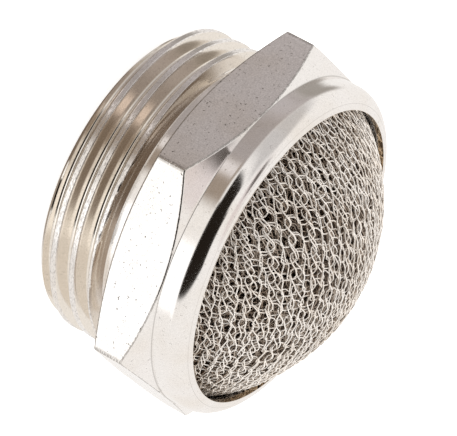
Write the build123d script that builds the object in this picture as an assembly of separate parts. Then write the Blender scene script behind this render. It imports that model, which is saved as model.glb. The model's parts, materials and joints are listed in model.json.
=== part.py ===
"""Flat screw-in exhaust silencer: a one-piece threaded brass body and a domed pad of knitted wire.

Units are millimetres. The part stands on its threaded end: +Z runs along the body's axis, from the
inlet to the dome, and the origin is the centre of the threaded end face. Two corners of the hexagon
lie on the Y axis, and two of its flats face along X.
"""
from build123d import *
import os
from math import ceil, radians, sqrt, tan

# Thread: G1 (ISO 228), right-handed, with its crests left flat at the turned diameter.
THREAD_NOMINAL_D = 33.249
THREAD_PITCH = 2.309
THREAD_HALF_ANGLE = 27.5
THREAD_DEPTH_IN_PITCHES = 0.640327
CREST_TURNED_OFF = 0.349
THREAD_LENGTH = 6.85
THREAD_START_Z = 2.208  # where the rear edge of a crest crosses the +X axis
END_CHAMFER = 1.20

# Relief groove between the thread and the hexagon.
GROOVE_UNDER_ROOT = 0.20
GROOVE_WIDTH = 2.65
GROOVE_WALL_RUN = 0.45

# Hexagon, chamfered on both sides. HEX_EDGE is the length of its corner edges.
HEX_AF = 36.0
HEX_EDGE = 3.15
SEAT_UNDER_FLATS = 0.20
BACK_CHAMFER_ANGLE = 23.0
FRONT_CHAMFER_ANGLE = 30.0

# Rim: a turned collar whose edge is rolled inwards over the pad.
RIM_UNDER_FLATS = 0.05
RIM_HEIGHT = 3.45
RIM_WALL = 1.45
RIM_ROLL_R = 2.00
LIP_OVERHANG = 0.55
LIP_TIP = 0.65
LIP_ROOT_DEPTH = 2.11

# Hollow: the inlet bore, and the pocket that holds the pad.
INLET_WALL = 1.95
INLET_CHAMFER = 0.50
POCKET_DEPTH = 2.90

# Pad: cup-shaped knitted plies over a pressed core, closed at the back by a flat ply.
PAD_CLEARANCE = 0.05
DOME_RISE = 9.16
PLY_THICKNESS = 0.50
PLY_NAMES = ("outer_knit_ply", "second_knit_ply", "third_knit_ply")

STAND = (Align.CENTER, Align.CENTER, Align.MIN)

# Radii that follow from the sizes above.
thread_depth = THREAD_DEPTH_IN_PITCHES * THREAD_PITCH
crest_r = (THREAD_NOMINAL_D - CREST_TURNED_OFF) / 2
root_r = THREAD_NOMINAL_D / 2 - thread_depth
groove_r = root_r - GROOVE_UNDER_ROOT
inlet_r = groove_r - INLET_WALL
hex_corner_r = HEX_AF / sqrt(3)
seat_r = HEX_AF / 2 - SEAT_UNDER_FLATS
rim_r = HEX_AF / 2 - RIM_UNDER_FLATS
pocket_r = rim_r - RIM_WALL
lip_r = pocket_r - LIP_OVERHANG
pad_r = pocket_r - PAD_CLEARANCE

# Width of the thread's space, level with the crests: half a pitch at the pitch line, and wider above it.
flank_slope = tan(radians(THREAD_HALF_ANGLE))
space_at_crest = THREAD_PITCH / 2 + (thread_depth - CREST_TURNED_OFF) * flank_slope

# Heights above the threaded end.
groove_foot_z = THREAD_LENGTH + GROOVE_WALL_RUN
seat_z = THREAD_LENGTH + GROOVE_WIDTH
back_corner_z = seat_z + (hex_corner_r - seat_r) * tan(radians(BACK_CHAMFER_ANGLE))
front_corner_z = back_corner_z + HEX_EDGE
rim_foot_z = front_corner_z + (hex_corner_r - rim_r) * tan(radians(FRONT_CHAMFER_ANGLE))
rim_top_z = rim_foot_z + RIM_HEIGHT
shoulder_z = rim_top_z - LIP_ROOT_DEPTH
ledge_z = shoulder_z - POCKET_DEPTH
pad_floor_z = ledge_z + PLY_THICKNESS
dome_top_z = shoulder_z + DOME_RISE

# The dome is part of a ball that passes through the pad's shoulder and top.
ball_r = (pad_r**2 + DOME_RISE**2) / (2 * DOME_RISE)
ball_z = dome_top_z - ball_r


def spun(profile):
    """Solid of revolution of a closed profile that is drawn as (radius, height) in the XZ plane."""
    return revolve(make_face(profile), Axis.Z)


def turned_head():
    """Outside of the body above the thread: relief groove, seat, chamfers and rolled rim."""
    roll_start = (rim_r, rim_top_z - RIM_ROLL_R)
    roll_end = (rim_r - RIM_ROLL_R, rim_top_z)
    outline = Polyline(
        (0, rim_top_z),
        (0, groove_foot_z),
        (groove_r, groove_foot_z),
        (groove_r, seat_z),
        (seat_r, seat_z),
        (hex_corner_r, back_corner_z),
        (hex_corner_r, front_corner_z),
        (rim_r, rim_foot_z),
        roll_start,
    )
    roll = RadiusArc(roll_start, roll_end, -RIM_ROLL_R)
    front = Line(roll_end, (0, rim_top_z))
    return spun([Plane.XZ * edge for edge in (*outline.edges(), roll, front)])


def hexagon_envelope():
    """Hexagonal bar that trims the seat flange to its six flats, with two corners on the Y axis."""
    return extrude(RegularPolygon(hex_corner_r, 6, rotation=30), rim_top_z)


def thread_envelope():
    """Turned outline of the threaded end: its chamfer, and the wall that falls into the relief groove."""
    over = 1.0
    wall_slope = GROOVE_WALL_RUN / (crest_r - groove_r)
    return spun(
        Plane.XZ
        * Polyline(
            (0, 0),
            (crest_r - END_CHAMFER, 0),
            (crest_r + over, END_CHAMFER + over),
            (crest_r + over, THREAD_LENGTH - over * wall_slope),
            (groove_r, groove_foot_z),
            (0, groove_foot_z),
            close=True,
        )
    )


def thread_groove(start_z, turns):
    """V groove of the thread: its section swept up a helix from the +X axis."""
    over = 0.6
    half_root = space_at_crest / 2 - (crest_r - root_r) * flank_slope
    half_mouth = space_at_crest / 2 + over * flank_slope
    section = make_face(
        Plane.XZ
        * Polyline(
            (root_r, start_z - half_root),
            (crest_r + over, start_z - half_mouth),
            (crest_r + over, start_z + half_mouth),
            (root_r, start_z + half_root),
            close=True,
        )
    )
    path = Pos(0, 0, start_z) * Helix(THREAD_PITCH, turns * THREAD_PITCH, root_r)
    return sweep(section, path=path, is_frenet=True)


def threaded_end():
    """Threaded end: a bar longer than its groove is threaded, then trimmed to the turned outline."""
    turns_below = 3
    turns = turns_below + ceil((THREAD_LENGTH - THREAD_START_Z) / THREAD_PITCH) + 2
    start_z = THREAD_START_Z - space_at_crest / 2 - turns_below * THREAD_PITCH
    bar = Pos(0, 0, start_z - 2 * THREAD_PITCH) * Cylinder(crest_r, (turns + 4) * THREAD_PITCH, align=STAND)
    return (bar - thread_groove(start_z, turns)) & thread_envelope()


def body_hollow():
    """Inlet bore, ledge and pad pocket, with the underside of the rolled lip closing over the pad."""
    over = 1.0
    return spun(
        Plane.XZ
        * Polyline(
            (0, -over),
            (inlet_r + INLET_CHAMFER + over, -over),
            (inlet_r, INLET_CHAMFER),
            (inlet_r, ledge_z),
            (pocket_r, ledge_z),
            (pocket_r, shoulder_z),
            (lip_r, rim_top_z - LIP_TIP),
            (lip_r, rim_top_z + over),
            (0, rim_top_z + over),
            close=True,
        )
    )


def make_body():
    """Threaded brass body: the head with its flats, the threaded end, and the hollow through both."""
    head = turned_head() & hexagon_envelope()
    return head + threaded_end() - body_hollow()


def pad_inside(depth):
    """Everything in the pad above its back ply that lies deeper than the given depth under its surface."""
    ball = Pos(0, 0, ball_z) * Sphere(ball_r - depth)
    bar = Pos(0, 0, pad_floor_z) * Cylinder(pad_r - depth, dome_top_z - pad_floor_z, align=STAND)
    return ball & bar


def make_cup_ply(index):
    """One knitted ply, counted from the outside: a dome whose skirt stands on the back ply."""
    outer_depth = index * PLY_THICKNESS
    return pad_inside(outer_depth) - pad_inside(outer_depth + PLY_THICKNESS)


def make_core():
    """Pressed wad of knitted wire that fills the pad under its plies."""
    return pad_inside(len(PLY_NAMES) * PLY_THICKNESS)


def make_back_ply():
    """Flat knitted ply that closes the pad on the inlet side and rests on the ledge."""
    return Pos(0, 0, ledge_z) * Cylinder(pad_r, PLY_THICKNESS, align=STAND)


def build_all():
    """All sub-parts by node name."""
    parts = {"body": make_body()}
    for index, name in enumerate(PLY_NAMES):
        parts[name] = make_cup_ply(index)
    parts["knit_core"] = make_core()
    parts["back_knit_ply"] = make_back_ply()
    return parts


os.makedirs("parts", exist_ok=True)
for node, shape in build_all().items():
    export_step(shape, f"parts/{node}.step")
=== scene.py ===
"""Looks of a flat screw-in exhaust silencer: a plated brass body and a domed pad of knitted wire.

Sizes are in metres in the part's own frame, whose +Z runs from the threaded end to the dome.
"""
import json
import logging
import math
import random
from dataclasses import dataclass, field
from enum import Enum

import bmesh
import bpy
from mathutils import Matrix, Vector, noise


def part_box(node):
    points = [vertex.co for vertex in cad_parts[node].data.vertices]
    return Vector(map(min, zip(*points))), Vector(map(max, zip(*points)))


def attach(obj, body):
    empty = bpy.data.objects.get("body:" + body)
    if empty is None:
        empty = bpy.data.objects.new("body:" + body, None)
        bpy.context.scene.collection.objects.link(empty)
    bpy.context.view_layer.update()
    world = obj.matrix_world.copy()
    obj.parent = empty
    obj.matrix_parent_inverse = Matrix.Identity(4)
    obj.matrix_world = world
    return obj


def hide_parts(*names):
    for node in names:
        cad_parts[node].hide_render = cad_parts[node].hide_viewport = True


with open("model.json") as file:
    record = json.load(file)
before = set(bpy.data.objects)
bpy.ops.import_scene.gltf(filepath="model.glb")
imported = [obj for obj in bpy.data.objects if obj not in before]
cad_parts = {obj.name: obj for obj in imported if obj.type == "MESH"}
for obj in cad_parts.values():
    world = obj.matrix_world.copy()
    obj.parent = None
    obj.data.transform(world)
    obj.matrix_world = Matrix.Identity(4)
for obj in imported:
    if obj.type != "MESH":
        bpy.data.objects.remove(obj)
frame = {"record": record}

Colour = tuple[float, float, float, float]
Socket = bpy.types.NodeSocket

MM = 0.001
ROOT = "root"
# Noise scales of the surface effects, per metre.
GRAIN_SCALE = 5200.0
PIT_SCALE = 3400.0
STAIN_SCALE = 160.0
GRIT_SCALE = 6500.0
SCRATCH_SCALE = 2600.0
WIRE_SCRATCH_SCALE = 9000.0
# Vector noise follows the clock unless it is given a seed above 0.
NOISE_SEED = 1
LOG = logging.getLogger("silencer")


# ----------------------------------------------------------------------------------------------
# Small helpers for meshes and node trees
# ----------------------------------------------------------------------------------------------

def object_from_bmesh(bm: bmesh.types.BMesh, name: str, smooth_angle: float = 30.0) -> bpy.types.Object:
    """Turns a bmesh into a linked object with smooth shading up to an angle.

    Args:
        bm: the finished bmesh, which is freed.
        name: the object's name.
        smooth_angle: edges sharper than this, in degrees, stay sharp.

    Returns:
        The new object.
    """
    mesh = bpy.data.meshes.new(name)
    bm.to_mesh(mesh)
    bm.free()
    mesh.shade_smooth()
    mesh.set_sharp_from_angle(angle=math.radians(smooth_angle))
    piece = bpy.data.objects.new(name, mesh)
    bpy.context.scene.collection.objects.link(piece)
    return piece


def wire_profile(bm: bmesh.types.BMesh, points: list[tuple[float, float]]) -> list[bmesh.types.BMVert]:
    """Draws an open profile in the XZ plane.

    Args:
        bm: the bmesh to draw in.
        points: (radius, height) pairs in order.

    Returns:
        The profile's vertices in order.
    """
    verts = [bm.verts.new((radius, 0.0, height)) for radius, height in points]
    for first, second in zip(verts, verts[1:]):
        bm.edges.new((first, second))
    return verts


def ease_corners(bm: bmesh.types.BMesh, corners: list[bmesh.types.BMVert], offset: float) -> None:
    """Rounds corners of a wire profile.

    Args:
        bm: the bmesh that holds the profile.
        corners: the vertices to round.
        offset: distance from each corner to where its rounding starts.
    """
    bmesh.ops.bevel(
        bm, geom=corners, offset=offset, offset_type="OFFSET", segments=3, profile=0.5,
        affect="VERTICES", material=-1,
    )


def spin_round(bm: bmesh.types.BMesh, steps: int) -> None:
    """Spins everything drawn in a bmesh one full turn about the part's axis.

    Args:
        bm: the bmesh.
        steps: how many steps the turn takes.
    """
    bmesh.ops.spin(
        bm, geom=bm.verts[:] + bm.edges[:], cent=(0, 0, 0), axis=(0, 0, 1), dvec=(0, 0, 0),
        angle=math.tau, steps=steps, use_merge=True, use_duplicate=False,
    )


class NodeSheet:
    """A material's or a group's node tree, with short calls for the nodes this file uses."""

    def __init__(self, tree: bpy.types.NodeTree) -> None:
        """Takes over a node tree."""
        self.tree = tree

    def add(self, kind: str, **settings: object) -> bpy.types.Node:
        """Adds a node and sets its properties.

        Args:
            kind: the node's type name.
            settings: properties to set on it.

        Returns:
            The new node.
        """
        node = self.tree.nodes.new(kind)
        for name, value in settings.items():
            setattr(node, name, value)
        return node

    def link(self, source: Socket, target: Socket) -> None:
        """Joins an output socket to an input socket."""
        self.tree.links.new(source, target)

    def feed(self, target: Socket, value: object) -> None:
        """Links a socket, or sets a plain value.

        Args:
            target: the input socket.
            value: an output socket, or a number or tuple.
        """
        if isinstance(value, Socket):
            self.link(value, target)
        else:
            target.default_value = value

    def math(self, operation: str, *values: object, clamp: bool = False) -> Socket:
        """Adds a math node.

        Args:
            operation: the node's operation.
            values: sockets or numbers for its inputs.
            clamp: whether the result is held between 0 and 1.

        Returns:
            Its output socket.
        """
        node = self.add("ShaderNodeMath", operation=operation, use_clamp=clamp)
        for slot, value in zip(node.inputs, values):
            self.feed(slot, value)
        return node.outputs[0]

    def ramp(self, value: object, low: float, high: float, to_low: float = 0.0, to_high: float = 1.0,
             smooth: bool = True) -> Socket:
        """Maps a value from one range to another.

        Args:
            value: the input.
            low: input that gives to_low.
            high: input that gives to_high.
            to_low: result at low.
            to_high: result at high.
            smooth: whether the change eases in and out.

        Returns:
            The mapped socket.
        """
        node = self.add("ShaderNodeMapRange", interpolation_type="SMOOTHSTEP" if smooth else "LINEAR")
        labels = ("Value", "From Min", "From Max", "To Min", "To Max")
        for label, item in zip(labels, (value, low, high, to_low, to_high)):
            self.feed(node.inputs[label], item)
        return node.outputs[0]

    def blend(self, share: object, first: object, second: object) -> Socket:
        """Mixes two colours.

        Args:
            share: 0 gives the first colour and 1 the second.
            first: socket or colour.
            second: socket or colour.

        Returns:
            The mixed colour.
        """
        node = self.add("ShaderNodeMix", data_type="RGBA")
        self.feed(node.inputs[0], share)
        self.feed(node.inputs[6], first)
        self.feed(node.inputs[7], second)
        return node.outputs[2]

    def noise(self, place: Socket, scale: float, detail: float = 2.0,
              roughness: float = 0.5) -> Socket:
        """Adds a noise texture.

        Args:
            place: coordinates.
            scale: noise scale, per metre.
            detail: octaves.
            roughness: strength of the finer octaves.

        Returns:
            Its value.
        """
        node = self.add("ShaderNodeTexNoise")
        self.link(place, node.inputs["Vector"])
        node.inputs["Scale"].default_value = scale
        node.inputs["Detail"].default_value = detail
        node.inputs["Roughness"].default_value = roughness
        return node.outputs[0]

    def bump(self, height: Socket, strength: float, distance: float, shader: bpy.types.Node) -> None:
        """Adds a bump node and joins it to a shader.

        Args:
            height: the relief.
            strength: the bump's strength.
            distance: the relief's depth.
            shader: the Principled BSDF.
        """
        node = self.add("ShaderNodeBump")
        node.inputs["Strength"].default_value = strength
        node.inputs["Distance"].default_value = distance
        self.link(height, node.inputs["Height"])
        self.link(node.outputs[0], shader.inputs["Normal"])

    def object_place(self) -> Socket:
        """Gives the Object coordinates."""
        return self.add("ShaderNodeTexCoord").outputs["Object"]


def new_group(name: str, inputs: dict[str, tuple[str, object]],
              outputs: dict[str, str]) -> tuple[NodeSheet, dict, dict]:
    """Starts a shader node group.

    Args:
        name: the group's name.
        inputs: socket names with their type and default value.
        outputs: socket names with their type.

    Returns:
        The group's sheet, its input sockets by name, and its output sockets by name.
    """
    tree = bpy.data.node_groups.new(name, "ShaderNodeTree")
    for label, (kind, value) in inputs.items():
        item = tree.interface.new_socket(label, in_out="INPUT", socket_type=kind)
        if value is not None:
            item.default_value = value
    for label, kind in outputs.items():
        tree.interface.new_socket(label, in_out="OUTPUT", socket_type=kind)
    sheet = NodeSheet(tree)
    given = sheet.add("NodeGroupInput")
    result = sheet.add("NodeGroupOutput")
    return sheet, {s.name: s for s in given.outputs if s.name}, {s.name: s for s in result.inputs if s.name}


# ----------------------------------------------------------------------------------------------
# Shared surface effects
# ----------------------------------------------------------------------------------------------

def tool_marks_group() -> bpy.types.NodeTree:
    """Builds the group for fine turning rings and handling marks on plated brass.

    Returns:
        The node group, with a height, masks for marks, stains, grit and scratches, and the distances from
        the axis and along it.
    """
    sheet, given, result = new_group(
        "tool_marks",
        {"Place": ("NodeSocketVector", None), "Ring Spacing": ("NodeSocketFloat", 0.00012),
         "Grain": ("NodeSocketFloat", 0.5)},
        dict.fromkeys(("Height", "Marks", "Stain", "Grit", "Scratch", "Radius", "Along"), "NodeSocketFloat"),
    )
    split = sheet.add("ShaderNodeSeparateXYZ")
    sheet.link(given["Place"], split.inputs[0])
    x, y, z = split.outputs
    radius = sheet.math("SQRT", sheet.math("ADD", sheet.math("MULTIPLY", x, x), sheet.math("MULTIPLY", y, y)))
    along = sheet.math("ADD", sheet.math("MULTIPLY", radius, 0.7), z)
    cycle = sheet.math("DIVIDE", along, given["Ring Spacing"])
    ring_place = sheet.add("ShaderNodeCombineXYZ")
    sheet.link(cycle, ring_place.inputs[0])
    sheet.link(sheet.math("MULTIPLY", radius, 900.0), ring_place.inputs[1])
    rings = sheet.noise(ring_place.outputs[0], 1.0, 3.0, 0.6)
    grain = sheet.noise(given["Place"], GRAIN_SCALE, 3.0, 0.6)
    pits = sheet.noise(given["Place"], PIT_SCALE, 3.0, 0.65)
    marks = sheet.ramp(pits, 0.645, 0.675)
    wide = sheet.noise(given["Place"], STAIN_SCALE, 3.0, 0.55)
    height = sheet.math("ADD", rings, sheet.math("MULTIPLY", grain, given["Grain"]))
    height = sheet.math("SUBTRACT", height, sheet.math("MULTIPLY", marks, 0.8))
    sheet.link(height, result["Height"])
    sheet.link(marks, result["Marks"])
    sheet.link(sheet.ramp(wide, 0.35, 0.7), result["Stain"])
    sheet.link(sheet.noise(given["Place"], GRIT_SCALE, 3.0, 0.7), result["Grit"])
    drawn = sheet.add("ShaderNodeVectorMath", operation="MULTIPLY")
    sheet.link(given["Place"], drawn.inputs[0])
    drawn.inputs[1].default_value = (1.0, 1.0, 3.0)
    sheet.link(sheet.noise(drawn.outputs[0], SCRATCH_SCALE, 4.0, 0.7), result["Scratch"])
    sheet.link(radius, result["Radius"])
    sheet.link(z, result["Along"])
    return sheet.tree


def wire_wear_group() -> bpy.types.NodeTree:
    """Builds the group for drawn wire: lengthwise scratches and a patchy warm bloom.

    Returns:
        The node group, with a height and a bloom mask.
    """
    sheet, given, result = new_group(
        "wire_wear",
        {"Place": ("NodeSocketVector", None), "Bloom Scale": ("NodeSocketFloat", 300.0)},
        {"Height": "NodeSocketFloat", "Bloom": "NodeSocketFloat"},
    )
    fine = sheet.noise(given["Place"], WIRE_SCRATCH_SCALE, 2.0, 0.6)
    patch = sheet.add("ShaderNodeTexNoise")
    sheet.link(given["Place"], patch.inputs["Vector"])
    sheet.link(given["Bloom Scale"], patch.inputs["Scale"])
    patch.inputs["Detail"].default_value = 3.0
    sheet.link(fine, result["Height"])
    sheet.link(sheet.ramp(patch.outputs[0], 0.38, 0.66), result["Bloom"])
    return sheet.tree


# ----------------------------------------------------------------------------------------------
# Finishes
# ----------------------------------------------------------------------------------------------

def new_material(name: str) -> tuple[bpy.types.Material, NodeSheet, bpy.types.Node]:
    """Starts a material with a Principled BSDF.

    Args:
        name: the material's name.

    Returns:
        The material, its node sheet and its shader node.
    """
    material = bpy.data.materials.new(name)
    material.use_nodes = True
    sheet = NodeSheet(material.node_tree)
    shader = next(n for n in material.node_tree.nodes if n.type == "BSDF_PRINCIPLED")
    return material, sheet, shader


@dataclass(frozen=True)
class PlatedBrass:
    """Bright nickel plating over turned brass, scuffed on the thread, with painted shade on the thread's flanks and on
    the lip's inner wall.
    """

    seat_z: float
    rim_foot_z: float
    name: str = "nickel_plated_brass"
    bright: Colour = (0.93, 0.905, 0.885, 1.0)
    warm: Colour = (0.88, 0.835, 0.785, 1.0)
    mark: Colour = (0.13, 0.11, 0.09, 1.0)
    # painted shade: this colour tints the thread's flanks darker brown, standing in for the shade between the turns.
    flank_shade: Colour = (0.84, 0.78, 0.70, 1.0)
    # painted shade: this brown tints the lip's inner wall, standing in for the shade under the rolled lip.
    lip_wall_shade: Colour = (0.66, 0.50, 0.31, 1.0)
    scuff: Colour = (0.52, 0.49, 0.47, 1.0)
    roughness: float = 0.055
    ring_spacing: float = 0.11 * MM
    bump: float = 0.25
    crest_r: float = 16.45 * MM
    thread_end_z: float = 7.0 * MM
    lip_r: float = 15.95 * MM
    lip_z: float = 18.2 * MM
    crimp_r: float = 16.62 * MM
    crimp_width: float = 0.045 * MM
    rim_r: float = 17.95 * MM
    front_run: float = 1.732
    seat_r: float = 17.80 * MM
    back_run: float = 2.356
    corner_r: float = 20.60 * MM
    edge_ease: float = 110.0

    def flats(self, sheet: NodeSheet, radius: Socket,
              height: Socket) -> tuple[Socket, ...]:
        """Masks the hexagon's flats, the narrow band beside their edges and corners that is darkened and raised in
        broken patches, and how far each edge is eased.

        Args:
            sheet: the material's sheet.
            radius: distance from the axis.
            height: distance from the threaded end.

        Returns:
            The flats' mask, the band's mask, and a height that falls off towards the edges.
        """
        gaps = []
        chamfers = (
            (self.rim_r, self.rim_foot_z, -self.front_run),
            (self.seat_r, self.seat_z, self.back_run),
        )
        for near_r, near_z, run in chamfers:
            cone = sheet.math("ADD", sheet.math("MULTIPLY", sheet.math("SUBTRACT", height, near_z), run), near_r)
            gaps.append(sheet.math("SUBTRACT", cone, radius))
        gap = sheet.math("MINIMUM", *gaps)
        flat = sheet.math(
            "MULTIPLY", sheet.ramp(gap, 0.01 * MM, 0.05 * MM),
            sheet.ramp(radius, self.rim_r, self.rim_r + 0.03 * MM),
        )
        band = sheet.math("MULTIPLY", flat, sheet.ramp(gap, 0.22 * MM, 0.42 * MM, 1.0, 0.0))
        corner = sheet.ramp(radius, self.corner_r, self.corner_r + 0.10 * MM)
        ease = sheet.math(
            "MULTIPLY", sheet.ramp(gap, 0.0, 0.24 * MM),
            sheet.ramp(radius, self.corner_r - 0.1 * MM, self.corner_r + 0.2 * MM, 1.0, 0.0),
        )
        return flat, sheet.math("MAXIMUM", corner, band), ease

    def build(self, marks: bpy.types.NodeTree) -> bpy.types.Material:
        """Builds the material.

        Args:
            marks: the shared tool_marks group.

        Returns:
            The material.
        """
        material, sheet, shader = new_material(self.name)
        place = sheet.object_place()
        group = sheet.add("ShaderNodeGroup", node_tree=marks)
        sheet.link(place, group.inputs["Place"])
        group.inputs["Ring Spacing"].default_value = self.ring_spacing
        group.inputs["Grain"].default_value = 0.45
        radius, height = group.outputs["Radius"], group.outputs["Along"]
        threaded = sheet.ramp(height, self.thread_end_z, self.thread_end_z + 0.3 * MM, 1.0, 0.0)
        crest = sheet.math("MULTIPLY", threaded, sheet.ramp(radius, self.crest_r - 0.14 * MM, self.crest_r - 0.09 * MM))
        # painted shade: mask of the thread's flanks, tinted darker brown to stand in for the shade between the turns.
        flank_shade = sheet.math("SUBTRACT", threaded, crest)
        # painted shade: mask of the lip's inner wall, tinted brown to stand in for the shade under the rolled lip.
        shaded_lip_wall = sheet.math(
            "MULTIPLY", sheet.ramp(radius, self.lip_r + 0.005 * MM, self.lip_r + 0.02 * MM, 1.0, 0.0),
            sheet.ramp(height, self.lip_z, self.lip_z + 0.1 * MM),
        )
        crimp = sheet.math(
            "MULTIPLY", sheet.ramp(height, self.lip_z, self.lip_z + 0.1 * MM),
            sheet.ramp(sheet.math("ABSOLUTE", sheet.math("SUBTRACT", radius, self.crimp_r)),
                       self.crimp_width * 0.4, self.crimp_width, 1.0, 0.0),
        )
        scratches = sheet.math("MULTIPLY", crest, sheet.ramp(group.outputs["Scratch"], 0.44, 0.62))
        flat, band, ease = self.flats(sheet, radius, height)
        # The band beside the flats' edges and corners is darkened and raised in broken patches.
        broken_edge_band = sheet.math("MULTIPLY", band, sheet.ramp(group.outputs["Scratch"], 0.40, 0.50))
        foot_gap = sheet.math("ABSOLUTE", sheet.math("SUBTRACT", height, self.rim_foot_z))
        foot = sheet.ramp(foot_gap, 0.02 * MM, 0.06 * MM, 1.0, 0.0)
        colour = sheet.blend(group.outputs["Stain"], self.bright, self.warm)
        for mask, share, tint in (
            (flank_shade, 0.8, self.flank_shade), (shaded_lip_wall, 0.85, self.lip_wall_shade), (scratches, 0.5, self.scuff),
            (crimp, 0.2, self.mark), (foot, 0.35, self.mark), (broken_edge_band, 0.5, self.mark),
        ):
            colour = sheet.blend(sheet.math("MULTIPLY", mask, share), colour, tint)
        specks = sheet.math("MULTIPLY", group.outputs["Marks"], sheet.ramp(flat, 0.0, 1.0, 0.3, 0.95))
        colour = sheet.blend(specks, colour, self.mark)
        tone = sheet.add("ShaderNodeHueSaturation")
        depth = sheet.ramp(flat, 0.0, 1.0, 0.07, 0.16)
        grit = sheet.ramp(group.outputs["Grit"], 0.3, 0.7, -1.0, 0.8)
        sheet.link(sheet.math("MULTIPLY_ADD", grit, depth, 0.98), tone.inputs["Value"])
        sheet.link(colour, tone.inputs["Color"])
        sheet.link(tone.outputs[0], shader.inputs["Base Color"])
        rough = sheet.math("ADD", sheet.math("MULTIPLY", group.outputs["Height"], 0.10), self.roughness)
        rough = sheet.math("ADD", rough, sheet.math("MULTIPLY", group.outputs["Marks"], 0.2))
        sheet.link(sheet.math("ADD", rough, sheet.math("MULTIPLY", scratches, 0.25)), shader.inputs["Roughness"])
        shader.inputs["Metallic"].default_value = 1.0
        relief = sheet.math("SUBTRACT", group.outputs["Height"], sheet.math("MULTIPLY", crimp, 2.5))
        relief = sheet.math("ADD", relief, sheet.math("MULTIPLY", broken_edge_band, 3.0))
        relief = sheet.math("ADD", relief, sheet.math("MULTIPLY", ease, self.edge_ease))
        sheet.bump(relief, self.bump, 0.004 * MM, shader)
        return material


@dataclass(frozen=True)
class DrawnWire:
    """Stainless steel knitting wire."""

    name: str
    bright: Colour = (0.86, 0.80, 0.74, 1.0)
    bloom: Colour = (0.66, 0.58, 0.50, 1.0)
    roughness: float = 0.30
    metallic: float = 0.85

    def build(self, wear: bpy.types.NodeTree) -> bpy.types.Material:
        """Builds the material.

        Args:
            wear: the shared wire_wear group.

        Returns:
            The material.
        """
        material, sheet, shader = new_material(self.name)
        group = sheet.add("ShaderNodeGroup", node_tree=wear)
        sheet.link(sheet.object_place(), group.inputs["Place"])
        sheet.link(sheet.blend(group.outputs["Bloom"], self.bright, self.bloom), shader.inputs["Base Color"])
        sheet.link(sheet.ramp(group.outputs["Height"], 0.3, 0.7, self.roughness - 0.06, self.roughness + 0.1),
                   shader.inputs["Roughness"])
        shader.inputs["Metallic"].default_value = self.metallic
        sheet.bump(group.outputs["Height"], 0.3, 0.006 * MM, shader)
        return material


@dataclass(frozen=True)
class ShadeWad:
    """A near-black wad with faint strands, seen between the plies' loops: painted shade that stands in for the shade
    deep in the pad.
    """

    name: str = "painted_shade_wad"
    # painted shade: near-black, standing in for the shade between the plies' loops.
    deep: Colour = (0.022, 0.014, 0.009, 1.0)
    strand: Colour = (0.16, 0.12, 0.09, 1.0)

    def build(self) -> bpy.types.Material:
        """Builds the material.

        Returns:
            The material.
        """
        material, sheet, shader = new_material(self.name)
        place = sheet.object_place()
        cells = sheet.add("ShaderNodeTexVoronoi", feature="DISTANCE_TO_EDGE")
        sheet.link(place, cells.inputs["Vector"])
        cells.inputs["Scale"].default_value = 1700.0
        strands = sheet.ramp(cells.outputs[0], 0.0, 0.16, 1.0, 0.0)
        sheet.link(sheet.blend(strands, self.deep, self.strand), shader.inputs["Base Color"])
        shader.inputs["Roughness"].default_value = 0.55
        shader.inputs["Metallic"].default_value = 0.6
        sheet.bump(strands, 0.8, 0.12 * MM, shader)
        return material


@dataclass(frozen=True)
class PaleFloor:
    """Plain white studio floor."""

    name: str = "pale_floor"
    colour: Colour = (0.90, 0.90, 0.895, 1.0)
    lift: float = 0.75

    def build(self) -> bpy.types.Material:
        """Builds the material.

        Returns:
            The material.
        """
        material, sheet, shader = new_material(self.name)
        paper = sheet.noise(sheet.object_place(), 35.0, 3.0)
        sheet.link(sheet.blend(paper, self.colour, (0.885, 0.885, 0.88, 1.0)), shader.inputs["Base Color"])
        shader.inputs["Roughness"].default_value = 0.9
        shader.inputs["Emission Color"].default_value = (1.0, 1.0, 1.0, 1.0)
        shader.inputs["Emission Strength"].default_value = self.lift
        return material


# ----------------------------------------------------------------------------------------------
# Body
# ----------------------------------------------------------------------------------------------

@dataclass
class ThreadForm:
    """Sizes of the pipe thread, its end chamfer and its run into the relief groove."""

    pitch: float = 2.309 * MM
    crest_r: float = 16.45 * MM
    root_r: float = 15.146 * MM
    crest_flat: float = 0.566 * MM
    flank_run: float = 0.679 * MM
    rear_edge_z: float = 2.208 * MM
    crest_end_z: float = 6.85 * MM
    end_r: float = 15.25 * MM
    rear_ease: float = 0.06 * MM
    front_ease: float = 0.03 * MM
    root_ease: float = 0.14 * MM

    def profile(self, turns_below: int = 2, turns_above: int = 3) -> list[tuple[float, float]]:
        """Gives the thread's section as it crosses the +X axis.

        Args:
            turns_below: crests below the first full one.
            turns_above: crests above it.

        Returns:
            (radius, height) pairs from the lowest crest to the highest.
        """
        points = []
        for turn in range(-turns_below, turns_above + 1):
            foot = self.rear_edge_z + turn * self.pitch
            points += [
                (self.crest_r, foot),
                (self.crest_r, foot + self.crest_flat),
                (self.root_r, foot + self.crest_flat + self.flank_run),
                (self.root_r, foot + self.pitch - self.flank_run),
            ]
        return points

    def envelope(self, height: float, groove_r: float, groove_foot_z: float) -> float:
        """Gives the largest radius that the turned outline allows.

        Args:
            height: distance from the threaded end.
            groove_r: radius of the relief groove.
            groove_foot_z: height at which the thread's end wall meets the groove.

        Returns:
            The radius.
        """
        chamfer = self.end_r + height
        wall = groove_r + (groove_foot_z - height) * (self.crest_r - groove_r) / (groove_foot_z - self.crest_end_z)
        return min(chamfer, wall)


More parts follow.
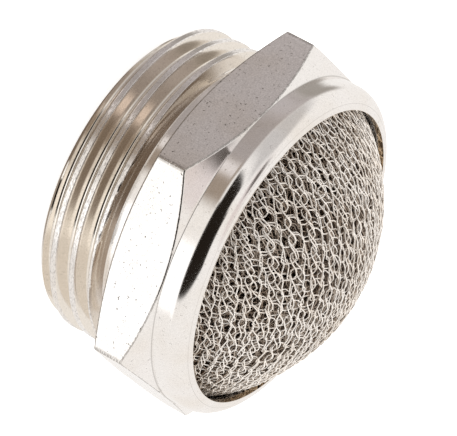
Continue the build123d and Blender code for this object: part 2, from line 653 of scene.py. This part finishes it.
@dataclass
class SilencerBody:
    """Threaded brass body with its hexagon, rolled rim, bore and pad pocket."""

    flats: float
    seat_z: float
    rim_top_z: float
    shoulder_z: float
    ledge_z: float
    node: str = "body"
    slot: str = "nickel_plated_brass"
    steps: int = 216
    thread: ThreadForm = field(default_factory=ThreadForm)
    groove_r: float = 14.946 * MM
    groove_foot_z: float = 7.30 * MM
    seat_r: float = 17.80 * MM
    blank_r: float = 21.50 * MM
    back_angle: float = 23.0
    front_angle: float = 30.0
    rim_r: float = 17.95 * MM
    rim_height: float = 3.45 * MM
    roll_r: float = 2.00 * MM
    lip_r: float = 15.95 * MM
    lip_tip: float = 0.65 * MM
    pocket_r: float = 16.50 * MM
    bore_r: float = 12.996 * MM
    bore_chamfer: float = 0.50 * MM
    flat_ease: float = 0.12 * MM
    seam_gap: float = 0.001 * MM

    @classmethod
    def from_frame(cls, pad: "PadForm") -> "SilencerBody":
        """Reads the body's place from the frame's boxes and mounts.

        Args:
            pad: the pad that the body holds.

        Returns:
            The body's form.
        """
        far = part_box("body")[1]
        seat = next(mount for mount in frame["record"]["mounts"] if mount["name"] == "seat_face")
        return cls(
            flats=2 * far.x, seat_z=seat["pos_m"][2], rim_top_z=far.z, shoulder_z=pad.shoulder_z,
            ledge_z=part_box("back_knit_ply")[0].z,
        )

    @property
    def rim_foot_z(self) -> float:
        """Height at which the rim stands on the hexagon's front chamfer."""
        return self.rim_top_z - self.rim_height

    def head_points(self) -> list[tuple[float, float]]:
        """Gives the turned outline above the thread, over the rim and back down the bore.

        Returns:
            (radius, height) pairs in order.
        """
        back_rise = (self.blank_r - self.seat_r) * math.tan(math.radians(self.back_angle))
        front_rise = (self.blank_r - self.rim_r) * math.tan(math.radians(self.front_angle))
        return [
            (self.groove_r, self.groove_foot_z),
            (self.groove_r, self.seat_z),
            (self.seat_r, self.seat_z),
            (self.blank_r, self.seat_z + back_rise),
            (self.blank_r, self.rim_foot_z - front_rise),
            (self.rim_r, self.rim_foot_z),
            (self.rim_r, self.rim_top_z),
            (self.lip_r, self.rim_top_z),
            (self.lip_r, self.rim_top_z - self.lip_tip),
            (self.pocket_r, self.shoulder_z),
            (self.pocket_r, self.ledge_z),
            (self.bore_r, self.ledge_z),
            (self.bore_r, self.bore_chamfer),
            (self.bore_r + self.bore_chamfer, 0.0),
            (self.thread.end_r, 0.0),
        ]

    def add_head(self, bm: bmesh.types.BMesh) -> None:
        """Spins the turned outline into a closed-round shell.

        Args:
            bm: the bmesh to add it to.
        """
        verts = wire_profile(bm, self.head_points())
        rim_corner = verts[6]
        ease_corners(bm, [verts[i] for i in (1, 2, 8, 9, 11, 12, 13)], 0.12 * MM)
        ease_corners(bm, [verts[5]], 0.03 * MM)
        bmesh.ops.bevel(
            bm, geom=[rim_corner], offset=self.roll_r * 0.999, offset_type="OFFSET", segments=14, profile=0.5,
            affect="VERTICES", material=-1,
        )
        spin_round(bm, self.steps)

    def thread_shell(self) -> bmesh.types.BMesh:
        """Sweeps the thread's section up its helix and trims it to the turned outline.

        Returns:
            A bmesh that is open at both ends.
        """
        bm = bmesh.new()
        verts = wire_profile(bm, self.thread.profile())
        ease_corners(bm, verts[4:-1:4], self.thread.rear_ease)
        ease_corners(bm, verts[1:-1:4], self.thread.front_ease)
        ease_corners(bm, verts[2:-1:4] + verts[3:-1:4], self.thread.root_ease)
        bmesh.ops.subdivide_edges(bm, edges=[e for e in bm.edges if e.calc_length() > 0.3 * MM], cuts=3)
        bmesh.ops.spin(
            bm, geom=bm.verts[:] + bm.edges[:], cent=(0, 0, 0), axis=(0, 0, 1),
            dvec=(0, 0, self.thread.pitch / self.steps), angle=math.tau, steps=self.steps,
            use_merge=False, use_duplicate=False,
        )
        for vert in bm.verts:
            self.trim(vert)
        bmesh.ops.remove_doubles(bm, verts=bm.verts[:], dist=0.0005 * MM)
        bmesh.ops.dissolve_degenerate(bm, edges=bm.edges[:], dist=0.0002 * MM)
        return bm

    def trim(self, vert: bmesh.types.BMVert) -> None:
        """Moves a vertex of the swept thread onto the turned outline if it stands outside it.

        Args:
            vert: the vertex.
        """
        radius = math.hypot(vert.co.x, vert.co.y)
        height = min(max(vert.co.z, 0.0), self.groove_foot_z)
        if height <= 0.0:
            wanted = self.thread.end_r
        elif height >= self.groove_foot_z:
            wanted = self.groove_r
        else:
            wanted = min(radius, self.thread.envelope(height, self.groove_r, self.groove_foot_z))
        vert.co = Vector((vert.co.x * wanted / radius, vert.co.y * wanted / radius, height))

    def close_seam(self, bm: bmesh.types.BMesh) -> None:
        """Splits an open edge where another open corner lies on it, and welds the two.

        Args:
            bm: the shell.
        """
        loose = [edge for edge in bm.edges if len(edge.link_faces) == 1]
        corners = list(dict.fromkeys(vert for edge in loose for vert in edge.verts))
        for edge in loose:
            first, second = edge.verts
            span = second.co - first.co
            for vert in corners:
                share = (vert.co - first.co).dot(span) / span.length_squared
                beside = (first.co + span * share - vert.co).length < self.seam_gap
                if vert not in (first, second) and 0.0 < share < 1.0 and beside:
                    corners.append(bmesh.utils.edge_split(edge, first, share)[1])
                    break
        bmesh.ops.remove_doubles(bm, verts=corners, dist=self.seam_gap)

    def cut_flats(self, bm: bmesh.types.BMesh) -> None:
        """Cuts the six flats and closes each with one face.

        Args:
            bm: the closed shell.
        """
        for side in range(6):
            normal = Vector((math.cos(side * math.pi / 3), math.sin(side * math.pi / 3), 0.0))
            cut = bmesh.ops.bisect_plane(
                bm, geom=bm.verts[:] + bm.edges[:] + bm.faces[:], dist=1e-7,
                plane_co=normal * (self.flats / 2), plane_no=normal, clear_outer=True,
            )
            rim = [item for item in cut["geom_cut"] if isinstance(item, bmesh.types.BMEdge) and item.is_valid]
            bmesh.ops.edgeloop_fill(bm, edges=rim)

    def ease_flats(self, bm: bmesh.types.BMesh) -> None:
        """Takes the sharpness off the hexagon's edges.

        Args:
            bm: the shell with its flats.
        """
        room = self.flats / 2 + 1.5 * self.flat_ease
        flats = {face for face in bm.faces if len(face.verts) > 12}
        edges = [
            edge for edge in bm.edges
            if any(face in flats for face in edge.link_faces) and edge.calc_face_angle(0.0) > math.radians(12)
            and all(math.hypot(vert.co.x, vert.co.y) > room for vert in edge.verts)
        ]
        bmesh.ops.bevel(
            bm, geom=edges, offset=self.flat_ease, offset_type="OFFSET", segments=4, profile=0.5,
            affect="EDGES", material=-1, clamp_overlap=False,
        )

    def build(self, finish: bpy.types.Material) -> bpy.types.Object:
        """Builds and dresses the body.

        Args:
            finish: the plated brass.

        Returns:
            The body's object.
        """
        bm = bmesh.new()
        self.add_head(bm)
        thread = self.thread_shell()
        mesh = bpy.data.meshes.new("thread_shell")
        thread.to_mesh(mesh)
        thread.free()
        bm.from_mesh(mesh)
        bpy.data.meshes.remove(mesh)
        bmesh.ops.remove_doubles(bm, verts=bm.verts[:], dist=0.004 * MM)
        loose = [vert for vert in bm.verts if any(len(edge.link_faces) != 2 for edge in vert.link_edges)]
        bmesh.ops.remove_doubles(bm, verts=loose, dist=0.11 * MM)
        self.close_seam(bm)
        self.cut_flats(bm)
        bmesh.ops.recalc_face_normals(bm, faces=bm.faces[:])
        self.ease_flats(bm)
        bmesh.ops.recalc_face_normals(bm, faces=bm.faces[:])
        open_edges = sum(1 for edge in bm.edges if len(edge.link_faces) != 2)
        LOG.info("body shell: %d faces, %d open edges", len(bm.faces), open_edges)
        piece = object_from_bmesh(bm, "plated_body", 24.0)
        weighted = piece.modifiers.new("weighted_normals", "WEIGHTED_NORMAL")
        weighted.mode = "FACE_AREA"
        weighted.weight = 100
        weighted.keep_sharp = True
        piece.data.materials.append(finish)
        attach(piece, ROOT)
        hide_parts(self.node)
        return piece


# ----------------------------------------------------------------------------------------------
# Knitted pad
# ----------------------------------------------------------------------------------------------

class Lay(Enum):
    """How a knitted ply lies."""

    DOMED = "domed"
    FLAT = "flat"


@dataclass
class PadForm:
    """Outer shape of the domed pad."""

    pad_r: float
    floor_z: float
    top_z: float
    back_z: float
    dome_rise: float = 9.16 * MM

    @classmethod
    def from_frame(cls) -> "PadForm":
        """Reads the pad's shape from the boxes of its outer and back plies."""
        low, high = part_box("outer_knit_ply")
        back_low, back_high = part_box("back_knit_ply")
        return cls(pad_r=high.x, floor_z=low.z, top_z=high.z, back_z=(back_low.z + back_high.z) / 2)

    @property
    def shoulder_z(self) -> float:
        """Height of the dome's foot, where the skirt starts."""
        return self.top_z - self.dome_rise

    @property
    def ball_r(self) -> float:
        """Radius of the ball that the dome is part of."""
        return (self.pad_r ** 2 + self.dome_rise ** 2) / (2 * self.dome_rise)

    @property
    def ball_z(self) -> float:
        """Height of the dome's ball centre."""
        return self.top_z - self.ball_r

    def reach(self, depth: float) -> float:
        """Gives the arc from the dome's top to its shoulder.

        Args:
            depth: distance under the pad's surface.

        Returns:
            The arc's length.
        """
        ball = self.ball_r - depth
        return ball * math.asin(min(1.0, (self.pad_r - depth) / ball))

    def wrap(self, u: float, v: float, depth: float) -> Vector:
        """Lays a point of flat fabric on the pad.

        Args:
            u: distance across the fabric from its middle.
            v: distance along it from its middle.
            depth: distance under the pad's surface.

        Returns:
            The point on the pad.
        """
        run = math.hypot(u, v)
        turn = math.atan2(v, u)
        ball = self.ball_r - depth
        edge = self.reach(depth)
        if run <= edge:
            lean = run / ball
            radius, height = ball * math.sin(lean), self.ball_z + ball * math.cos(lean)
        else:
            radius = self.pad_r - depth
            height = self.ball_z + ball * math.cos(edge / ball) - (run - edge)
        return Vector((radius * math.cos(turn), radius * math.sin(turn), height))


@dataclass
class KnitPly:
    """One ply of plain knitted wire, made of courses of real loops."""

    name: str
    node: str
    form: PadForm
    depth: float
    lay: Lay = Lay.DOMED
    turn: float = -46.0
    wale: float = 2.55 * MM
    course: float = 1.95 * MM
    loop_height: float = 3.25 * MM
    bulge: float = 0.21
    skew: float = -0.15
    swing: float = 0.13 * MM
    wire_r: float = 0.072 * MM
    wander: float = 0.16 * MM
    sway: float = 0.55 * MM
    slack: float = 0.35
    layers: int = 1
    layer_gap: float = 0.16 * MM
    seed: int = 1
    slot: str = "stainless_wire"
    samples: int = 18

    def stitch(self, phase: float, row: int) -> tuple[float, float, float]:
        """Gives a point of a course's wire on flat fabric.

        Args:
            phase: angle along the course, a full turn for each loop.
            row: the course's number.

        Returns:
            Distance across, distance along, and height above the ply's middle.
        """
        loop = math.floor(phase / math.tau + 0.5)
        swell = 1.0 + self.slack * noise.noise(Vector((loop * 1.7, row * 2.3, self.seed)))
        rise = self.loop_height / 2 * math.cos(phase)
        across = self.wale * phase / math.tau + self.bulge * self.wale * swell * math.sin(2 * phase) + self.skew * rise
        along = self.course * row + rise
        return across, along, -self.swing * math.cos(2 * phase)

    def courses(self, layer: int) -> list[list[Vector]]:
        """Works out the path of the wire in each course of one layer of fabric.

        Args:
            layer: the layer's number within the ply.

        Returns:
            Runs of points, each one unbroken length of wire.
        """
        chance = random.Random(self.seed + 50 * layer)
        limit = self.form.pad_r - self.wire_r if self.lay is Lay.FLAT else (
            self.form.reach(self.depth) + self.form.shoulder_z - self.form.floor_z - 3 * self.wire_r
        )
        loops = math.ceil(limit / self.wale) + 1
        rows = math.ceil(limit / self.course) + 1
        heading = Matrix.Rotation(math.radians(self.turn + 9.0 * layer), 2)
        shift = Vector((chance.uniform(-0.5, 0.5) * self.wale, chance.uniform(-0.5, 0.5) * self.course))
        raised = self.layer_gap * ((self.layers - 1) / 2 - layer)
        runs: list[list[Vector]] = []
        for row in range(-rows, rows + 1):
            offset = self.wale * 0.04 * chance.uniform(-1, 1)
            run: list[Vector] = []
            for step in range(-loops * self.samples, loops * self.samples + 1):
                across, along, lift = self.stitch(math.tau * step / self.samples, row)
                spot = Vector((across, along, 0.004 * (self.seed + layer)))
                drift = noise.noise_vector(spot * 330.0) * self.wander + noise.noise_vector(spot * 75.0) * self.sway
                point = heading @ (Vector((across + offset + drift.x, along + drift.y)) + shift)
                if point.length > limit:
                    if len(run) > 3:
                        runs.append(run)
                    run = []
                    continue
                run.append(self.place(point.x, point.y, lift + raised + drift.z * 0.2))
            if len(run) > 3:
                runs.append(run)
        return runs

    def place(self, u: float, v: float, lift: float) -> Vector:
        """Puts a point of flat fabric on the pad or on its flat back.

        Args:
            u: distance across.
            v: distance along.
            lift: height above the ply's middle.

        Returns:
            The point.
        """
        if self.lay is Lay.FLAT:
            return Vector((u, v, self.form.back_z - lift))
        room = self.depth - self.wire_r
        return self.form.wrap(u, v, self.depth - max(-room, min(room, lift)))

    def build(self, finish: bpy.types.Material) -> bpy.types.Object:
        """Builds and dresses the ply.

        Args:
            finish: the wire's material.

        Returns:
            The ply's object.
        """
        runs = [run for layer in range(self.layers) for run in self.courses(layer)]
        piece = wire_piece(self.name, runs, self.wire_r)
        piece.data.materials.append(finish)
        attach(piece, ROOT)
        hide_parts(self.node)
        return piece


def wire_piece(name: str, runs: list[list[Vector]], radius: float, sides: int = 1) -> bpy.types.Object:
    """Makes round wire along runs of points.

    Args:
        name: the piece's name.
        runs: runs of points.
        radius: the wire's radius.
        sides: bevel resolution of the round.

    Returns:
        A mesh object.
    """
    curve = bpy.data.curves.new(name + "_line", "CURVE")
    curve.dimensions = "3D"
    curve.bevel_depth = radius
    curve.bevel_resolution = sides
    curve.use_fill_caps = True
    for run in runs:
        spline = curve.splines.new("POLY")
        spline.points.add(len(run) - 1)
        for point, spot in zip(spline.points, run):
            point.co = (*spot, 1.0)
    holder = bpy.data.objects.new(name + "_line", curve)
    mesh = bpy.data.meshes.new_from_object(holder)
    mesh.name = name
    mesh.shade_smooth()
    bpy.data.objects.remove(holder)
    bpy.data.curves.remove(curve)
    piece = bpy.data.objects.new(name, mesh)
    bpy.context.scene.collection.objects.link(piece)
    return piece


@dataclass
class PadCore:
    """Wad of wire under the plies: a near-black domed body that is painted shade for the depths of the pad, and the
    loose strands on it.
    """

    form: PadForm
    node: str = "knit_core"
    slot: str = "stainless_wire"
    depth: float = 1.65 * MM
    steps: int = 96
    strands: int = 420
    strand_r: float = 0.085 * MM
    seed: int = 77

    def wad(self, finish: bpy.types.Material) -> bpy.types.Object:
        """Builds the wad's closed domed body.

        Args:
            finish: the wad's near-black material, which is painted shade.

        Returns:
            The wad's object.
        """
        bm = bmesh.new()
        edge = self.form.reach(self.depth)
        points = []
        for step in range(25):
            spot = self.form.wrap(edge * step / 24, 0.0, self.depth)
            points.append((spot.x, spot.z))
        foot = self.form.pad_r - self.depth
        points += [(foot, self.form.floor_z + 0.05 * MM), (0.0, self.form.floor_z + 0.05 * MM)]
        wire_profile(bm, points)
        spin_round(bm, self.steps)
        bmesh.ops.remove_doubles(bm, verts=bm.verts[:], dist=0.001 * MM)
        for vert in bm.verts:
            vert.co += noise.noise_vector(vert.co * 900.0) * 0.10 * MM
        bmesh.ops.recalc_face_normals(bm, faces=bm.faces[:])
        piece = object_from_bmesh(bm, "dark_wad_shade", 60.0)
        piece.data.materials.append(finish)
        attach(piece, ROOT)
        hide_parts(self.node)
        return piece

    def loose_strands(self, finish: bpy.types.Material) -> bpy.types.Object:
        """Builds short bent strands that lie on the wad at every angle.

        Args:
            finish: the wire's material.

        Returns:
            The strands' object.
        """
        chance = random.Random(self.seed)
        reach = self.form.reach(self.depth) * 1.02
        runs = []
        for _ in range(self.strands):
            run = math.sqrt(chance.random()) * reach
            spin = chance.uniform(0, math.tau)
            heading = chance.uniform(0, math.tau)
            bend = chance.uniform(-1, 1) * 900.0
            u, v = run * math.cos(spin), run * math.sin(spin)
            line = []
            for _ in range(9):
                lift = chance.uniform(-0.03, 0.03) * MM
                line.append(self.form.wrap(u, v, self.depth - 0.12 * MM - lift))
                u += 0.28 * MM * math.cos(heading)
                v += 0.28 * MM * math.sin(heading)
                heading += bend * 0.28 * MM
                if math.hypot(u, v) > reach:
                    break
            if len(line) > 3:
                runs.append(line)
        piece = wire_piece("wad_strands", runs, self.strand_r)
        piece.data.materials.append(finish)
        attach(piece, ROOT)
        return piece


# ----------------------------------------------------------------------------------------------
# Studio
# ----------------------------------------------------------------------------------------------

@dataclass(frozen=True)
class StudioCard:
    """A soft-edged card or gap in the studio's surroundings, placed by compass angle and height."""

    azimuth: float
    height: float
    half_width: float
    half_height: float
    colour: tuple[float, float, float]
    soft: float = 6.0


CARDS = (
    StudioCard(0, -72, 181, 30, (0.20, 0.155, 0.12), 8),
    StudioCard(20, -72, 60, 30, (0.55, 0.48, 0.41), 10),
    StudioCard(-92, -46, 60, 9, (0.25, 0.20, 0.16), 4),
    StudioCard(140, 78, 60, 11, (0.82, 0.75, 0.74), 6),
    StudioCard(152, 72, 26, 5, (0.10, 0.085, 0.075), 3),
    StudioCard(-155, 28, 28, 34, (0.62, 0.60, 0.59), 10),
    StudioCard(160, -19, 14, 15, (0.38, 0.35, 0.32), 6),
    StudioCard(-150, -24, 38, 18, (0.41, 0.37, 0.355), 6),
    StudioCard(-171, -24, 12, 18, (0.52, 0.48, 0.475), 8),
    StudioCard(-104, -24, 15, 14, (0.36, 0.295, 0.24), 6),
    StudioCard(-128, -41, 9, 8, (1.0, 0.88, 0.82), 4),
    StudioCard(-114, -25, 5, 5, (0.85, 0.80, 0.78), 3),
    StudioCard(-38, -20, 24, 14, (1.35, 1.35, 1.35), 5),
    StudioCard(-99, 28, 15, 27, (0.016, 0.012, 0.009), 3),
    StudioCard(-60, 30, 32, 35, (0.016, 0.012, 0.009), 2.5),
)


@dataclass
class Studio:
    """Pale floor, soft surroundings and the camera."""

    surround: Colour = (0.97, 0.945, 0.92, 1.0)
    floor_half: float = 2.0
    floor_drop: float = 0.02 * MM
    backdrop: float = 1.05
    azimuth: float = 6.647
    elevation: float = 23.443
    roll: float = 118.64
    distance: float = 0.350
    aim: tuple[float, float, float] = (-0.944 * MM, 3.971 * MM, 9.411 * MM)
    lens: float = 275.7
    sensor: float = 36.0
    lamp: float = 1.8
    lamp_from: tuple[float, float, float] = (-0.12, 0.10, 0.98)
    lamp_spread: float = 25.0
    lamp_colour: tuple[float, float, float] = (1.0, 0.97, 0.93)

    def lay_floor(self, finish: bpy.types.Material) -> bpy.types.Object:
        """Lays the floor under the part.

        Args:
            finish: the floor's material.

        Returns:
            The floor's object.
        """
        bm = bmesh.new()
        bmesh.ops.create_grid(bm, x_segments=8, y_segments=8, size=self.floor_half)
        bmesh.ops.translate(bm, verts=bm.verts[:], vec=(0.0, 0.0, -self.floor_drop))
        floor = object_from_bmesh(bm, "floor")
        floor.data.materials.append(finish)
        floor.visible_glossy = False
        return floor

    def light(self, cards: tuple[StudioCard, ...]) -> bpy.types.World:
        """Surrounds the part with soft light and cards, which camera rays don't see.

        Args:
            cards: cards in painting order.

        Returns:
            The world.
        """
        world = bpy.data.worlds.new("soft_studio")
        world.use_nodes = True
        bpy.context.scene.world = world
        sheet = NodeSheet(world.node_tree)
        background = next(n for n in world.node_tree.nodes if n.type == "BACKGROUND")
        output = next(n for n in world.node_tree.nodes if n.type == "OUTPUT_WORLD")
        split = sheet.add("ShaderNodeSeparateXYZ")
        sheet.link(sheet.add("ShaderNodeTexCoord").outputs["Generated"], split.inputs[0])
        x, y, z = split.outputs
        compass = sheet.math("MULTIPLY", sheet.math("ARCTAN2", y, x), 180 / math.pi)
        height = sheet.math("MULTIPLY", sheet.math("ARCSINE", z), 180 / math.pi)
        colour: object = self.surround
        for card in cards:
            bearing = sheet.math("WRAP", sheet.math("SUBTRACT", compass, card.azimuth), 180.0, -180.0)
            side = sheet.math("ABSOLUTE", bearing)
            rise = sheet.math("ABSOLUTE", sheet.math("SUBTRACT", height, card.height))
            mask = sheet.math(
                "MULTIPLY",
                sheet.ramp(side, card.half_width - card.soft, card.half_width + card.soft, 1.0, 0.0),
                sheet.ramp(rise, card.half_height - card.soft, card.half_height + card.soft, 1.0, 0.0),
            )
            colour = sheet.blend(mask, colour, (*card.colour, 1.0))
        sheet.link(colour, background.inputs["Color"])
        plain = sheet.add("ShaderNodeBackground")
        plain.inputs["Color"].default_value = (1.0, 1.0, 1.0, 1.0)
        plain.inputs["Strength"].default_value = self.backdrop
        choose = sheet.add("ShaderNodeMixShader")
        sheet.link(sheet.add("ShaderNodeLightPath").outputs["Is Camera Ray"], choose.inputs[0])
        sheet.link(background.outputs[0], choose.inputs[1])
        sheet.link(plain.outputs[0], choose.inputs[2])
        sheet.link(choose.outputs[0], output.inputs["Surface"])
        return world

    def hang_lamp(self) -> bpy.types.Object:
        """Hangs a broad lamp over the dome that lights the wire without showing in the plating.

        Returns:
            The lamp's object.
        """
        data = bpy.data.lights.new("dome_lamp", "SUN")
        data.energy = self.lamp
        data.angle = math.radians(self.lamp_spread)
        data.color = self.lamp_colour
        lamp = bpy.data.objects.new("dome_lamp", data)
        lamp.rotation_mode = "QUATERNION"
        lamp.rotation_quaternion = Vector(self.lamp_from).to_track_quat("Z", "Y")
        lamp.visible_glossy = False
        bpy.context.scene.collection.objects.link(lamp)
        return lamp

    def place_camera(self) -> bpy.types.Object:
        """Sets up the camera.

        Returns:
            The camera's object.
        """
        a, e = math.radians(self.azimuth), math.radians(self.elevation)
        back = Vector((math.sin(a) * math.cos(e), -math.cos(a) * math.cos(e), math.sin(e)))
        data = bpy.data.cameras.new("studio_camera")
        data.lens = self.lens
        data.sensor_width = self.sensor
        data.clip_start = 0.01
        data.clip_end = 10.0
        camera = bpy.data.objects.new("studio_camera", data)
        bpy.context.scene.collection.objects.link(camera)
        camera.rotation_mode = "QUATERNION"
        level = (-back).to_track_quat("-Z", "Y")
        camera.rotation_quaternion = level @ Matrix.Rotation(math.radians(self.roll), 4, "Z").to_quaternion()
        camera.location = Vector(self.aim) + back * self.distance
        bpy.context.scene.camera = camera
        bpy.context.scene.view_settings.view_transform = "Standard"
        bpy.context.scene.view_settings.look = "None"
        return camera


# ----------------------------------------------------------------------------------------------
# Scene
# ----------------------------------------------------------------------------------------------

def report(piece: bpy.types.Object) -> None:
    """Logs a finished piece's name and face count."""
    LOG.info("%s: %d faces", piece.name, len(piece.data.polygons))


def main() -> None:
    """Builds the scene."""
    logging.basicConfig(level=logging.INFO, format="%(name)s %(message)s")
    noise.seed_set(NOISE_SEED)
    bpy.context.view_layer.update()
    marks, wear = tool_marks_group(), wire_wear_group()
    form = PadForm.from_frame()
    body = SilencerBody.from_frame(form)
    brass = PlatedBrass(seat_z=body.seat_z, rim_foot_z=body.rim_foot_z).build(marks)
    outer_wire = DrawnWire("outer_wire", (1.0, 0.96, 0.915, 1.0), (0.96, 0.90, 0.83, 1.0), metallic=0.5).build(wear)
    # painted shade: the second and third plies use darker copies of the wire finish, standing in for the shade deep in
    # the pad; the third also dresses the wad's loose strands.
    second_wire_shaded = DrawnWire("second_wire_shaded", (0.66, 0.58, 0.50, 1.0), (0.38, 0.30, 0.235, 1.0), 0.28, 0.65).build(wear)
    third_wire_shaded = DrawnWire("third_wire_shaded", (0.40, 0.32, 0.26, 1.0), (0.22, 0.165, 0.125, 1.0), 0.32).build(wear)
    wad = ShadeWad().build()

    studio = Studio()
    studio.place_camera()
    studio.light(CARDS)
    studio.hang_lamp()
    studio.lay_floor(PaleFloor().build())

    report(body.build(brass))
    report(KnitPly("outer_knit", "outer_knit_ply", form, 0.28 * MM, wale=2.30 * MM, course=1.75 * MM,
                   loop_height=2.90 * MM, layers=2, samples=14, seed=3).build(outer_wire))
    report(KnitPly("second_knit", "second_knit_ply", form, 0.68 * MM, turn=-52.0, wander=0.34 * MM, sway=0.9 * MM,
                   slack=0.7, layers=3, samples=14, seed=8).build(second_wire_shaded))
    report(KnitPly("third_knit", "third_knit_ply", form, 1.18 * MM, turn=-65.0, wander=0.42 * MM, sway=1.1 * MM,
                   slack=0.7, layers=3, samples=14, seed=15).build(third_wire_shaded))
    core = PadCore(form)
    report(core.wad(wad))
    report(core.loose_strands(third_wire_shaded))
    report(KnitPly("back_knit", "back_knit_ply", form, 0.25 * MM, lay=Lay.FLAT, turn=12.0, seed=21).build(outer_wire))


if __name__ == "__main__":
    main()
